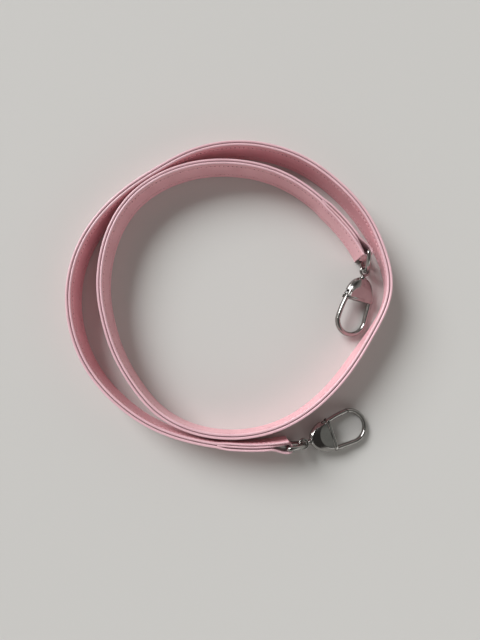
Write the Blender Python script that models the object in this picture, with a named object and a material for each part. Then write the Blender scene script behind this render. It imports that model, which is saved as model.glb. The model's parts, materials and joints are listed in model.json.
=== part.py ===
"""A detachable bag strap, coiled on its edge, with a D-ring and a swivel snap hook at each end.

The strap is two leather layers over a thin core. At each end the outer layer narrows to a neck
round the upright bar of the D-ring, turns back and ends as a tab between the layers. A swivel eye
runs on the ring's bow. Its post turns in the hook body, and a sprung gate closes the hook.
Units are metres. +Z is up, and the strap stands on z = 0 with its coil round the Z axis.
"""

import math

import bmesh
import bpy
import numpy as np
from mathutils import Matrix, Vector

# Strap
STRAP_WIDTH = 0.020
LAYER_THICKNESS = 0.00115
CORE_THICKNESS = 0.00035
CORE_WIDTH = 0.0185
LAYER_GAP = 0.00025
LAYER_EDGE = 0.00025
NECK_CLEARANCE = 0.0005
TAB_LENGTH = 0.033
TAB_GAP = 0.00045
TAPER_LENGTH = 0.012
FLARE_LENGTH = 0.010
RISE_LENGTH = 0.008
BAR_SETBACK = 0.0008
BAR_CLEARANCE = 0.0006

# Coil
COIL_RADIUS = 0.090
COIL_CENTRE_X = -0.0022
COIL_CENTRE_Y = 0.0014
TURN_CLEARANCE = 0.0005
KNOT_STEP = 15
FIRST_KNOT = 300
OUTER_END = 291.5
INNER_END = 15.4
STATION_STEP = 0.0068
LEAN = 11
LEAN_MIDDLE = 299
LEAN_HALF_SPAN = 34

# D-ring
RING_WIRE = 0.0026
RING_HEIGHT = 0.0196
RING_CORNER = 0.0015

# Swivel eye
EYE_WIRE = 0.0014
EYE_HOLE = 0.0038
COLLAR_RADIUS = 0.0015
POST_RADIUS = 0.00095
POST_HEAD_RADIUS = 0.0020
POST_HEAD_THICKNESS = 0.0011
POST_LENGTH = 0.0053
FIT_GAP = 0.0003

# Lie of the hooks, in degrees
EYE_DROP_A = 15
EYE_DROP_B = 12
RING_A_TURN = -24
RING_B_TURN = -2
HOOK_B_TURN = 10
HOOK_A_ROLL = 20

# Hook body
HOOK_LENGTH = 0.0358
DOME_LENGTH = 0.0128
DOME_HALF_WIDTH = 0.0092
DOME_HALF_HEIGHT = 0.0034
FLANGE_THICKNESS = 0.0014
FLANGE_PROUD = 0.0003
FIXED_REACH = 0.0098
GATE_REACH = 0.0111
BAR_WIDTH = 0.0028
BAR_HEIGHT = 0.0036
CAVITY_WALL = 0.0009
NOSE_ANGLE = 83
NOSE_SLANT = 15
HOOK_A_CLEARANCE = 0.0003

# Gate, pin and spring
GATE_WIDTH = 0.0027
GATE_HEIGHT = 0.0034
KNUCKLE_HEIGHT = 0.0037
GATE_BULGE = 0.0006
GATE_EAR = 0.00065
KNUCKLE_RADIUS = 0.0017
PIN_RADIUS = 0.0007
PIN_RECESS = 0.0002
PIN_FROM_FLANGE = 0.0030
PIN_FROM_SIDE = 0.0024
SLOT_WALL = 0.0011
SPRING_WIRE = 0.0004
SPRING_PITCH = 0.00062
SPRING_HALF_TURNS = 5
SPRING_LEG = 0.0040

CUT_OVERRUN = 0.002
ROUND_SIDES = 12

# Distance from the coil's axis at each knot, clockwise from FIRST_KNOT, in COIL_RADIUS
OUTER_TURN_SHARES = (
    1.044, 0.989, 0.953, 0.944, 0.954, 0.967, 0.987, 0.998,
    0.999, 0.984, 0.953, 0.921, 0.908, 0.932, 0.957, 0.973,
    0.982, 0.986, 0.999, 1.006, 1.003, 0.936, 0.897, 0.887,
)
# Free space between the two turns at the knots that follow, in COIL_RADIUS
TURN_GAP_SHARES = (
    0.111, 0.051, 0.018, 0.017, 0.049, 0.102, 0.146, 0.166,
    0.154, 0.119, 0.062, 0.013, 0.005, 0.043, 0.081, 0.102,
    0.113, 0.115, 0.103, 0.069, 0.037,
)
# Half outlines of the dome from its middle to its facet: length, width and height shares
DOME_LEVEL_SHARES = (
    (1.00, 1.00, 0.22),
    (0.985, 0.99, 0.40),
    (0.93, 0.97, 0.53),
    (0.87, 0.95, 0.58),
    (0.57, 0.90, 0.97),
    (0.50, 0.87, 1.00),
)

STRAP_THICKNESS = 2 * (LAYER_THICKNESS + LAYER_GAP) + CORE_THICKNESS
NECK_WIDTH = RING_HEIGHT - 2 * RING_WIRE - 2 * NECK_CLEARANCE
BODY_OFFSET = (STRAP_THICKNESS - LAYER_THICKNESS) / 2
LAP_OFFSET = LAYER_THICKNESS + TAB_GAP
LOOP_RADIUS = RING_WIRE / 2 + BAR_CLEARANCE + LAYER_THICKNESS / 2
BOW_RADIUS = (RING_HEIGHT - RING_WIRE) / 2
EYE_RADIUS = (EYE_HOLE + EYE_WIRE) / 2
APEX_X = EYE_RADIUS + EYE_WIRE / 2 + 2 * FIT_GAP
FLANGE_X = APEX_X + DOME_LENGTH
THROAT_X = FLANGE_X + FLANGE_THICKNESS
LOOP_ARC_RADIUS = (FIXED_REACH + GATE_REACH - BAR_WIDTH) / 2
LOOP_CENTRE_X = APEX_X + HOOK_LENGTH - BAR_WIDTH / 2 - LOOP_ARC_RADIUS
LOOP_CENTRE_Y = (GATE_REACH - FIXED_REACH) / 2
PIN_X = THROAT_X - PIN_FROM_FLANGE
PIN_Y = DOME_HALF_WIDTH - PIN_FROM_SIDE
SLOT_HALF_HEIGHT = KNUCKLE_HEIGHT / 2 + FIT_GAP
TURN_A = math.pi - math.radians(HOOK_A_ROLL)


def clear_scene():
    for item in list(bpy.data.objects):
        bpy.data.objects.remove(item, do_unlink=True)


def material(name, colour, roughness, metallic):
    made = bpy.data.materials.new(name)
    made.use_nodes = True
    shader = made.node_tree.nodes["Principled BSDF"]
    shader.inputs["Base Color"].default_value = (*colour, 1)
    shader.inputs["Roughness"].default_value = roughness
    shader.inputs["Metallic"].default_value = metallic
    return made


def mesh_object(name, points, faces):
    mesh = bpy.data.meshes.new(name)
    mesh.from_pydata([tuple(float(c) for c in p) for p in points], [], faces)
    made = bpy.data.objects.new(name, mesh)
    bpy.context.scene.collection.objects.link(made)
    work = bmesh.new()
    work.from_mesh(mesh)
    bmesh.ops.recalc_face_normals(work, faces=work.faces)
    work.to_mesh(mesh)
    work.free()
    return made


def combine(target, tool, operation):
    """Joins or cuts the target with the tool and applies the result."""
    step = target.modifiers.new(operation.lower(), "BOOLEAN")
    step.operation = operation
    step.solver = "EXACT"
    step.object = tool
    graph = bpy.context.evaluated_depsgraph_get()
    graph.update()
    result = bpy.data.meshes.new_from_object(target.evaluated_get(graph))
    target.modifiers.remove(step)
    target.data = result
    bpy.data.objects.remove(tool, do_unlink=True)


def finish(item, parent, finish_material, sharp=40):
    """Gives a piece its material, smooth shading and carrying frame."""
    item.data.materials.clear()
    item.data.materials.append(finish_material)
    item.data.shade_smooth()
    item.data.set_sharp_from_angle(angle=math.radians(sharp))
    item.parent = parent
    return item


def frame(name, parent, matrix):
    """An empty that carries the pieces of one joint."""
    made = bpy.data.objects.new(name, None)
    bpy.context.scene.collection.objects.link(made)
    made.parent = parent
    made.matrix_local = matrix
    return made


def ease(share):
    share = min(max(share, 0), 1)
    return share * share * (3 - 2 * share)


def loft(rings, closed):
    """Points and faces through rings of equal count, capped unless the path is closed."""
    count = len(rings[0])
    points = [p for ring in rings for p in ring]
    faces = []
    spans = len(rings) if closed else len(rings) - 1
    for i in range(spans):
        here = i * count
        there = (i + 1) % len(rings) * count
        for j in range(count):
            k = (j + 1) % count
            faces.append((here + j, here + k, there + k, there + j))
    if not closed:
        faces.append(tuple(range(count))[::-1])
        faces.append(tuple(range(len(points) - count, len(points))))
    return points, faces


def ellipse_section(half_across, half_up, sides=ROUND_SIDES):
    turns = [2 * math.pi * i / sides for i in range(sides)]
    return [(half_across * math.cos(a), half_up * math.sin(a)) for a in turns]


def sweep(name, path, section, up=None, closed=False):
    """A bar along a path. The section's first axis lies across the path and its second along up."""
    path = [Vector(p) for p in path]
    count = len(path)
    rings = []
    carried = up and Vector(up)
    for i, point in enumerate(path):
        before = path[(i - 1) % count] if closed or i else point
        after = path[(i + 1) % count] if closed or i < count - 1 else point
        along = (after - before).normalized()
        if carried is None:
            carried = along.orthogonal()
        high = (carried - along * carried.dot(along)).normalized()
        across = high.cross(along)
        if up is None:
            carried = high
        rings.append([point + across * a + high * h for a, h in section])
    points, faces = loft(rings, closed)
    return mesh_object(name, points, faces)


def turned(name, profile, sides=ROUND_SIDES):
    """A closed body turned round the X axis from (x, radius) points, given end to end."""
    rings = []
    for x, radius in profile:
        rings.append([(x, radius * c, radius * s) for c, s in ellipse_section(1, 1, sides)])
    points, faces = loft(rings, False)
    return mesh_object(name, points, faces)


def rod(name, start, end, radius, sides=ROUND_SIDES):
    start, end = Vector(start), Vector(end)
    return sweep(name, [start, end], ellipse_section(radius, radius, sides), (end - start).orthogonal())


def block(name, low, high):
    corners = [(x, y, z) for z in (low[2], high[2]) for y in (low[1], high[1]) for x in (low[0], high[0])]
    faces = [(0, 2, 3, 1), (4, 5, 7, 6), (0, 1, 5, 4), (2, 6, 7, 3), (0, 4, 6, 2), (1, 3, 7, 5)]
    return mesh_object(name, corners, faces)


# Strap route


def knot_radii():
    """The radius of the strap's middle plane at every knot, the outer turn first."""
    outer = [COIL_RADIUS * share for share in OUTER_TURN_SHARES]
    step = STRAP_THICKNESS + TURN_CLEARANCE
    return outer + [r - step - COIL_RADIUS * gap for r, gap in zip(outer, TURN_GAP_SHARES)]


def spline_slopes(values):
    """Slopes of the natural cubic spline through evenly spaced values."""
    count = len(values)
    system = np.zeros((count, count))
    right = np.zeros(count)
    for i in range(count):
        before, after = max(i - 1, 0), min(i + 1, count - 1)
        system[i, before] += 1
        system[i, after] += 1
        system[i, i] += 4 if 0 < i < count - 1 else 1
        right[i] = 3 * (values[after] - values[before])
    return np.linalg.solve(system, right)


KNOTS = knot_radii()
SLOPES = spline_slopes(KNOTS)


def radius_at(turned_degrees):
    """Radius of the middle plane after turning clockwise from the first knot."""
    place = turned_degrees / KNOT_STEP
    i = min(int(place), len(KNOTS) - 2)
    t = place - i
    start, end = KNOTS[i], KNOTS[i + 1]
    bend = (2 * t**3 - 3 * t**2 + 1) * start + (3 * t**2 - 2 * t**3) * end
    return bend + (t**3 - 2 * t**2 + t) * SLOPES[i] + (t**3 - t**2) * SLOPES[i + 1]


def route_point(turned_degrees):
    angle = math.radians(FIRST_KNOT - turned_degrees)
    radius = radius_at(turned_degrees)
    return Vector((radius * math.cos(angle) + COIL_CENTRE_X, radius * math.sin(angle) + COIL_CENTRE_Y, 0))


def fine_route():
    """Points of the middle plane a degree apart, from the outer end to the inner end."""
    return [route_point(a) for a in ROUTE_DEGREES]


FIRST_DEGREES = FIRST_KNOT - OUTER_END
LAST_DEGREES = FIRST_KNOT + 360 - INNER_END
ROUTE_DEGREES = np.linspace(FIRST_DEGREES, LAST_DEGREES, round(LAST_DEGREES - FIRST_DEGREES) + 1)
ROUTE = fine_route()
ROUTE_LENGTHS = np.concatenate(([0], np.cumsum([(b - a).length for a, b in zip(ROUTE, ROUTE[1:])])))
STRAP_LENGTH = float(ROUTE_LENGTHS[-1])


def on_route(distance):
    """The middle plane's point and direction at a distance from the outer end, straight past the ends."""
    i = int(np.searchsorted(ROUTE_LENGTHS, distance, side="right")) - 1
    i = min(max(i, 0), len(ROUTE) - 2)
    along = (ROUTE[i + 1] - ROUTE[i]).normalized()
    point = ROUTE[i] + along * (distance - float(ROUTE_LENGTHS[i]))
    if 0 < i < len(ROUTE) - 2:
        t = (distance - ROUTE_LENGTHS[i]) / (ROUTE_LENGTHS[i + 1] - ROUTE_LENGTHS[i])
        before = (ROUTE[i + 1] - ROUTE[i - 1]).normalized()
        after = (ROUTE[i + 2] - ROUTE[i]).normalized()
        along = before.lerp(after, float(t)).normalized()
    return point, along


def offset_point(distance, out):
    """A point beside the middle plane. Out is away from the coil's axis."""
    point, along = on_route(distance)
    return point + Vector((-along.y, along.x, 0)) * out


def layer_offset(distance):
    """How far each layer lies from the middle plane: more where the tab lies between them."""
    to_end = min(distance, STRAP_LENGTH - distance)
    share = ease((TAB_LENGTH + RISE_LENGTH - to_end) / RISE_LENGTH)
    return BODY_OFFSET + (LAP_OFFSET - BODY_OFFSET) * share


def outer_offset(distance):
    """The outer layer also flares out to pass over the ring's bar."""
    to_bar = min(distance, STRAP_LENGTH - distance) - BAR_SETBACK
    rest = layer_offset(distance)
    return rest + (2 * LOOP_RADIUS - rest) * ease(1 - to_bar / FLARE_LENGTH)


def outer_width(distance):
    """The outer layer and its tab narrow to the neck's width on their way to the bar."""
    to_bar = min(distance, STRAP_LENGTH - distance) - BAR_SETBACK
    return STRAP_WIDTH + (NECK_WIDTH - STRAP_WIDTH) * ease(1 - to_bar / TAPER_LENGTH)


def stations(start, end, finest=STATION_STEP):
    return np.linspace(start, end, max(2, math.ceil((end - start) / finest) + 1))


def shared_stations(start, end):
    """The start, the end and the stations between them at which every layer has a section."""
    grid = stations(0, STRAP_LENGTH)
    near = STATION_STEP / 4
    inside = grid[(grid > start + near) & (grid < end - near)]
    return np.concatenate(([start], inside, [end]))


def lean_at(distance):
    """The angle by which the outer turn leans in where the inner hook pushes its foot out."""
    turned_degrees = float(np.interp(distance, ROUTE_LENGTHS, ROUTE_DEGREES))
    return math.radians(LEAN) * ease(1 - abs(turned_degrees - LEAN_MIDDLE) / LEAN_HALF_SPAN)


def split_twisted(points, faces, leans, sides):
    """Splits the faces between unlike leans from top to bottom, alike on every side of every layer."""
    split = []
    for i, face in enumerate(faces):
        span = i // sides
        if span >= len(leans) - 1 or leans[span] == leans[span + 1]:
            split.append(face)
            continue
        a, b, c, d = face
        if points[a].z > points[b].z:
            split += [(a, b, c), (a, c, d)]
        else:
            split += [(a, b, d), (b, c, d)]
    return split


def band(name, line, widths, offsets, leans, thickness, edge):
    """A flat strip on its edge along a line in the floor plane, with its long edges eased.

    Offsets are the line's distances from the middle plane. A lean keeps the top edge in place.
    """
    rings = []
    count = len(line)
    for i, point in enumerate(line):
        along = (line[min(i + 1, count - 1)] - line[max(i - 1, 0)]).normalized()
        across = Vector((-along.y, along.x, 0))
        half, high = thickness / 2, widths[i] / 2
        corners = [
            (half, high - edge), (half - edge, high), (edge - half, high), (-half, high - edge),
            (-half, edge - high), (edge - half, -high), (half - edge, -high), (half, edge - high),
        ]
        sine, cosine = math.sin(leans[i]), math.cos(leans[i])
        section = []
        for a, h in corners:
            out, rise = offsets[i] + a, STRAP_WIDTH / 2 + h
            x = out * cosine + (STRAP_WIDTH - rise) * sine - offsets[i]
            z = rise * cosine + (out + STRAP_THICKNESS / 2) * sine
            section.append(point + across * x + Vector((0, 0, z)))
        rings.append(section)
    points, faces = loft(rings, False)
    return mesh_object(name, points, split_twisted(points, faces, leans, len(rings[0])))


def bar_centre(at_outer_end):
    distance = BAR_SETBACK if at_outer_end else STRAP_LENGTH - BAR_SETBACK
    return offset_point(distance, LOOP_RADIUS)


def loop_points(at_outer_end, sides=9):
    """The outer layer's half turn round a bar, from its outer strand to the tab."""
    distance = BAR_SETBACK if at_outer_end else STRAP_LENGTH - BAR_SETBACK
    along = on_route(distance)[1]
    beyond = -along if at_outer_end else along
    out = Vector((-along.y, along.x, 0))
    middle = bar_centre(at_outer_end)
    angles = [math.pi * i / sides for i in range(1, sides)]
    return [middle + (out * math.cos(a) + beyond * math.sin(a)) * LOOP_RADIUS for a in angles]


def outer_layer():
    """One strip: the tab at the outer end, its neck, the whole outer side, the other neck and tab."""
    fine = FLARE_LENGTH / 6
    first, last = BAR_SETBACK, STRAP_LENGTH - BAR_SETBACK
    run = np.concatenate((
        stations(first, first + TAPER_LENGTH, fine)[:-1],
        shared_stations(first + TAPER_LENGTH, last - TAPER_LENGTH),
        stations(last - TAPER_LENGTH, last, fine)[1:],
    ))
    tab = np.concatenate((
        stations(first, first + TAPER_LENGTH, fine)[:-1],
        stations(first + TAPER_LENGTH, TAB_LENGTH),
    ))
    side = [offset_point(d, outer_offset(d)) for d in run]
    tab_b = [offset_point(d, 0) for d in tab]
    tab_a = [offset_point(STRAP_LENGTH - d, 0) for d in tab]
    loop_b = loop_points(True)
    loop_a = loop_points(False)
    line = tab_b[::-1] + loop_b[::-1] + side + loop_a + tab_a
    run_widths = [outer_width(d) for d in run]
    tab_widths = [outer_width(d) for d in tab]
    neck = [NECK_WIDTH] * len(loop_b)
    widths = tab_widths[::-1] + neck + run_widths + neck + tab_widths
    level = [0] * (len(tab) + len(neck))
    offsets = level + [outer_offset(d) for d in run] + level
    leans = level + [lean_at(d) for d in run] + level
    return band("strap_outer_layer", line, widths, offsets, leans, LAYER_THICKNESS, LAYER_EDGE)


def inner_layer():
    run = shared_stations(0, STRAP_LENGTH)
    line = [offset_point(d, -layer_offset(d)) for d in run]
    widths = [STRAP_WIDTH] * len(line)
    offsets = [-layer_offset(d) for d in run]
    leans = [lean_at(d) for d in run]
    return band("strap_inner_layer", line, widths, offsets, leans, LAYER_THICKNESS, LAYER_EDGE)


def core():
    start = TAB_LENGTH + FIT_GAP
    run = shared_stations(start, STRAP_LENGTH - start)
    line = [offset_point(d, 0) for d in run]
    widths = [CORE_WIDTH] * len(line)
    leans = [lean_at(d) for d in run]
    return band("strap_core", line, widths, [0] * len(line), leans, CORE_THICKNESS, CORE_THICKNESS / 4)


# Hardware, each piece in its own joint's frame


def ring(name):
    """A D-ring in the XZ plane: its bar on the Z axis and its bow a half circle."""
    half = BOW_RADIUS
    path = []
    for i in range(5):
        z = (half - RING_CORNER) * (i / 2 - 1)
        path.append((0, 0, z))
    for a in (30, 60):
        a = math.radians(a)
        path.append((RING_CORNER * (1 - math.cos(a)), 0, half - RING_CORNER * (1 - math.sin(a))))
    for i in range(19):
        a = math.pi * (0.5 - i / 18)
        path.append((RING_CORNER + half * math.cos(a), 0, half * math.sin(a)))
    for a in (60, 30):
        a = math.radians(a)
        path.append((RING_CORNER * (1 - math.cos(a)), 0, RING_CORNER * (1 - math.sin(a)) - half))
    return sweep(name, path, ellipse_section(RING_WIRE / 2, RING_WIRE / 2), (0, 1, 0), True)


def eye(name):
    """A wire eye round the bow, with its collar, post and riveted head along X."""
    wire = EYE_WIRE / 2
    count = 24
    path = [
        (EYE_RADIUS * math.cos(a), EYE_RADIUS * math.sin(a), 0)
        for a in (2 * math.pi * i / count for i in range(count))
    ]
    loop = sweep(name, path, ellipse_section(wire, wire, 10), (0, 0, 1), True)
    head_x = APEX_X + POST_LENGTH
    collar_end = APEX_X - FIT_GAP
    post = turned(name + "_post", (
        (EYE_RADIUS - wire / 2, POST_RADIUS / 2),
        (EYE_RADIUS, POST_RADIUS),
        (EYE_RADIUS + wire, COLLAR_RADIUS),
        (collar_end, COLLAR_RADIUS),
        (collar_end, POST_RADIUS),
        (head_x, POST_RADIUS),
        (head_x, POST_HEAD_RADIUS),
        (head_x + POST_HEAD_THICKNESS / 2, POST_HEAD_RADIUS),
        (head_x + POST_HEAD_THICKNESS, POST_HEAD_RADIUS / 2),
    ))
    combine(loop, post, "UNION")
    return loop


def half_oval(length, half_width, z, sides=14):
    """Half an ellipse with its straight side on the flange plane, from side to side round the apex."""
    angles = [math.pi * (i / sides - 0.5) for i in range(sides + 1)]
    return [(FLANGE_X - length * math.cos(a), half_width * math.sin(a), z) for a in angles]


def dome(name):
    """A solid half oval that rises from a rounded rim to a flat facet on both faces."""
    levels = [(l, w, -h) for l, w, h in DOME_LEVEL_SHARES[::-1]] + list(DOME_LEVEL_SHARES)
    rings = [
        half_oval(l * DOME_LENGTH, w * DOME_HALF_WIDTH, h * DOME_HALF_HEIGHT) for l, w, h in levels
    ]
    points, faces = loft(rings, False)
    return mesh_object(name, points, faces)


def flange(name, sides=28):
    """The raised lip along the dome's straight shoulder, a plate with rounded ends."""
    half_width = DOME_HALF_WIDTH + FLANGE_PROUD
    half_height = DOME_HALF_HEIGHT + FLANGE_PROUD
    edge = FLANGE_THICKNESS / 4

    def outline(inset):
        points = []
        for i in range(sides):
            a = 2 * math.pi * i / sides
            c, s = math.cos(a), math.sin(a)
            y = (half_width - inset) * math.copysign(abs(c) ** 0.5, c)
            z = (half_height - inset) * math.copysign(abs(s) ** 0.5, s)
            points.append((y, z))
        return points

    rings = []
    low = FLANGE_X - edge
    for x, inset in ((low, edge), (low + edge, 0), (THROAT_X - edge, 0), (THROAT_X, edge)):
        rings.append([(x, y, z) for y, z in outline(inset)])
    points, faces = loft(rings, False)
    return mesh_object(name, points, faces)


def loop_path():
    """Middle line of the fixed arm: out of the dome, round the end and up to the nose."""
    path = [(FLANGE_X, LOOP_CENTRE_Y - LOOP_ARC_RADIUS, 0)]
    steps = 18
    sweep_degrees = 90 + NOSE_ANGLE + math.degrees(BAR_WIDTH / LOOP_ARC_RADIUS)
    for i in range(steps + 1):
        a = math.radians(sweep_degrees * i / steps - 90)
        x = LOOP_CENTRE_X + LOOP_ARC_RADIUS * math.cos(a)
        path.append((x, LOOP_CENTRE_Y + LOOP_ARC_RADIUS * math.sin(a), 0))
    return path


def hook_body(name):
    body = dome(name)
    combine(body, flange(name + "_flange"), "UNION")
    boss_radius = POST_RADIUS + FIT_GAP + CAVITY_WALL
    boss = rod(name + "_boss", (APEX_X, 0, 0), (APEX_X + DOME_LENGTH / 3, 0, 0), boss_radius)
    combine(body, boss, "UNION")
    arm = sweep(name + "_arm", loop_path(), ellipse_section(BAR_WIDTH / 2, BAR_HEIGHT / 2), (0, 0, 1))
    cut_joint(arm, name + "_nose_cut", -2 * BAR_WIDTH, FIT_GAP / 2, gate_place())
    combine(body, arm, "UNION")
    mouth = (APEX_X - CUT_OVERRUN, 0, 0)
    seat_x = APEX_X + POST_LENGTH - FIT_GAP
    throat = (THROAT_X + CUT_OVERRUN, 0, 0)
    bore = rod(name + "_bore", mouth, (seat_x + CUT_OVERRUN / 2, 0, 0), POST_RADIUS + FIT_GAP)
    combine(body, bore, "DIFFERENCE")
    cavity = rod(name + "_cavity", (seat_x, 0, 0), throat, DOME_HALF_HEIGHT - CAVITY_WALL)
    combine(body, cavity, "DIFFERENCE")
    slot = block(
        name + "_slot",
        (PIN_X - KNUCKLE_RADIUS - FIT_GAP, DOME_HALF_HEIGHT - CAVITY_WALL + SLOT_WALL, -SLOT_HALF_HEIGHT),
        (THROAT_X + CUT_OVERRUN, DOME_HALF_WIDTH + CUT_OVERRUN, SLOT_HALF_HEIGHT),
    )
    combine(body, slot, "DIFFERENCE")
    pin_hole = rod(
        name + "_pin_hole", (PIN_X, PIN_Y, -DOME_HALF_HEIGHT - CUT_OVERRUN),
        (PIN_X, PIN_Y, DOME_HALF_HEIGHT + CUT_OVERRUN), PIN_RADIUS + FIT_GAP,
    )
    combine(body, pin_hole, "DIFFERENCE")
    return body


def gate_line():
    """The gate's straight line in the hook's frame: the pin, the direction and the length."""
    nose = math.radians(NOSE_ANGLE)
    end = Vector((math.cos(nose), math.sin(nose), 0)) * LOOP_ARC_RADIUS
    end += Vector((LOOP_CENTRE_X, LOOP_CENTRE_Y, 0))
    start = Vector((PIN_X, PIN_Y, 0))
    return start, (end - start).normalized(), (end - start).length


def gate_place():
    """The closed gate's place in the hook's frame."""
    start, along, _ = gate_line()
    return Matrix.Translation(start) @ Matrix.Rotation(math.atan2(along.y, along.x), 4, "Z")


def cut_joint(body, name, low, high, place):
    """Cuts between two planes beside the slanted joint of gate and nose, which only opens inward."""
    cutter = block(name, (low, -2 * BAR_WIDTH, -BAR_HEIGHT), (high, 2 * BAR_WIDTH, BAR_HEIGHT))
    slant = Matrix.Rotation(math.radians(NOSE_SLANT), 4, "Z")
    cutter.data.transform(place @ Matrix.Translation((gate_line()[2], 0, 0)) @ slant)
    combine(body, cutter, "DIFFERENCE")


def gate(name):
    """A bulged bar from the origin along X with a forked knuckle and a slanted end."""
    length = gate_line()[2]
    reach = length + BAR_WIDTH
    steps = 8
    path = []
    for i in range(steps + 1):
        share = i / steps * reach / length
        path.append((share * length, 4 * GATE_BULGE * share * (1 - share), 0))
    bar = sweep(name, path, ellipse_section(GATE_WIDTH / 2, GATE_HEIGHT / 2), (0, 0, 1))
    cut_joint(bar, name + "_end_cut", -FIT_GAP / 2, 2 * BAR_WIDTH, Matrix.Identity(4))
    high = KNUCKLE_HEIGHT / 2
    combine(bar, rod(name + "_knuckle", (0, 0, -high), (0, 0, high), KNUCKLE_RADIUS, 16), "UNION")
    ears = high - GATE_EAR
    room = rod(name + "_room", (0, 0, -ears), (0, 0, ears), KNUCKLE_RADIUS + FIT_GAP, 16)
    combine(bar, room, "DIFFERENCE")
    bore = rod(name + "_bore", (0, 0, -2 * high), (0, 0, 2 * high), PIN_RADIUS + FIT_GAP / 2)
    combine(bar, bore, "DIFFERENCE")
    return bar


def pin(name):
    reach = DOME_HALF_HEIGHT - PIN_RECESS
    return rod(name, (0, 0, -reach), (0, 0, reach), PIN_RADIUS)


def spring(name):
    """A torsion spring round the pin: one leg along the gate's inner side, the other into the slot."""
    wire = SPRING_WIRE / 2
    radius = PIN_RADIUS + FIT_GAP + wire
    steps = SPRING_HALF_TURNS * 6
    start_z = -SPRING_PITCH * SPRING_HALF_TURNS / 4
    leg_y = -GATE_WIDTH / 2 - FIT_GAP - wire
    path = [(SPRING_LEG, leg_y, start_z), (KNUCKLE_RADIUS, leg_y, start_z)]
    for i in range(steps + 1):
        a = math.pi * (i / 6 - 0.5)
        path.append((radius * math.cos(a), radius * math.sin(a), start_z + SPRING_PITCH * i / 12))
    path.append((-KNUCKLE_RADIUS, radius, path[-1][2]))
    return sweep(name, path, ellipse_section(wire, wire, 6))


def loop_outline():
    """Points of the loop's middle line and the ways out of the loop there."""
    turns = [math.radians(angle) for angle in range(-90, 100, 10)]
    ways_out = [Vector((math.cos(a), math.sin(a), 0)) for a in turns]
    centre = Vector((LOOP_CENTRE_X, LOOP_CENTRE_Y, 0))
    return [(centre + LOOP_ARC_RADIUS * way_out, way_out) for way_out in ways_out]


def rest_tilt(height, turn):
    """The tilt at which the hook's loop lies on the floor, from its eye's height and its turn."""
    tilt = 0.0
    for _ in range(20):
        lie = Matrix.Rotation(tilt, 4, "Y") @ Matrix.Rotation(turn, 4, "X")
        depths = []
        for point, way_out in loop_outline():
            half = math.hypot(BAR_WIDTH / 2 * (lie @ way_out).z, BAR_HEIGHT / 2 * lie[2][2])
            depths.append((half - (lie @ point).z, point.x))
        depth, reach = max(depths)
        tilt += (height - depth) / reach
    return tilt


def hook_places(ring_heading, hook_heading, drop, turn, centre):
    """The places of the ring, of the bow's middle in the ring and of the hook in the bow."""
    ring_place = Matrix.Translation(centre) @ Matrix.Rotation(ring_heading, 4, "Z")
    bow_place = Matrix.Translation((RING_CORNER, 0, 0)) @ Matrix.Rotation(math.radians(drop), 4, "Y")
    eye_centre = ring_place @ bow_place @ Vector((BOW_RADIUS, 0, 0))
    hook = Matrix.Translation(eye_centre) @ Matrix.Rotation(hook_heading, 4, "Z")
    hook = hook @ Matrix.Rotation(rest_tilt(eye_centre.z, turn), 4, "Y") @ Matrix.Rotation(turn, 4, "X")
    return ring_place, bow_place, (ring_place @ bow_place).inverted() @ hook


def bar_middle(at_outer_end):
    return bar_centre(at_outer_end) + Vector((0, 0, STRAP_WIDTH / 2))


def wall_room(ring_heading, hook_heading):
    """Least distance from the inner hook to the outer turn, as the hook turns right round on its post."""
    places = hook_places(ring_heading, hook_heading, EYE_DROP_A, TURN_A, bar_middle(False))
    flat = places[0] @ places[1] @ places[2] @ Matrix.Rotation(-TURN_A, 4, "X")
    shoulder = DOME_HALF_WIDTH + FLANGE_PROUD
    spots = [(FLANGE_X, shoulder, 0), (THROAT_X, shoulder, 0)]
    spots += [(point.x, abs(point.y), BAR_WIDTH / 2) for point, _ in loop_outline()]
    room = []
    for across_x, across_y, reach in spots:
        x, y, z = flat @ Vector((across_x, across_y, 0))
        x, y = x - COIL_CENTRE_X, y - COIL_CENTRE_Y
        turned_degrees = (FIRST_KNOT - math.degrees(math.atan2(y, x))) % 360
        lean = lean_at(float(np.interp(turned_degrees, ROUTE_DEGREES, ROUTE_LENGTHS)))
        wall = radius_at(turned_degrees) + (STRAP_WIDTH - z) * math.sin(lean) - STRAP_THICKNESS / 2
        room.append(wall - math.hypot(x, y) - reach)
    return min(room)


def lies():
    """Headings of ring and hook, drop of the eye and turn of the hook. The inner one clears the wall."""
    along_a = on_route(STRAP_LENGTH)[1]
    along_b = -on_route(0)[1]
    ring_a = math.atan2(along_a.y, along_a.x) + math.radians(RING_A_TURN)
    ring_b = math.atan2(along_b.y, along_b.x) + math.radians(RING_B_TURN)
    hook_a = ring_a
    while wall_room(ring_a, hook_a) < HOOK_A_CLEARANCE and hook_a > ring_a - math.pi / 2:
        hook_a -= math.radians(0.25)
    hook_b = ring_b + math.radians(HOOK_B_TURN)
    return {"a": (ring_a, hook_a, EYE_DROP_A, TURN_A), "b": (ring_b, hook_b, EYE_DROP_B, 0)}


def least_turn_gap():
    """Least distance between the outer turn's inner face and the inner turn's outer face."""
    points = np.array([point[:] for point in ROUTE])
    half_turn = 180
    least = COIL_RADIUS
    for i in range(len(points) - half_turn):
        far = np.linalg.norm(points[i + half_turn:] - points[i], axis=1)
        j = int(np.argmin(far)) + half_turn + i
        faces = layer_offset(ROUTE_LENGTHS[i]) + outer_offset(ROUTE_LENGTHS[j]) + LAYER_THICKNESS
        least = min(least, float(np.linalg.norm(points[j] - points[i])) - faces)
    return least


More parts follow.
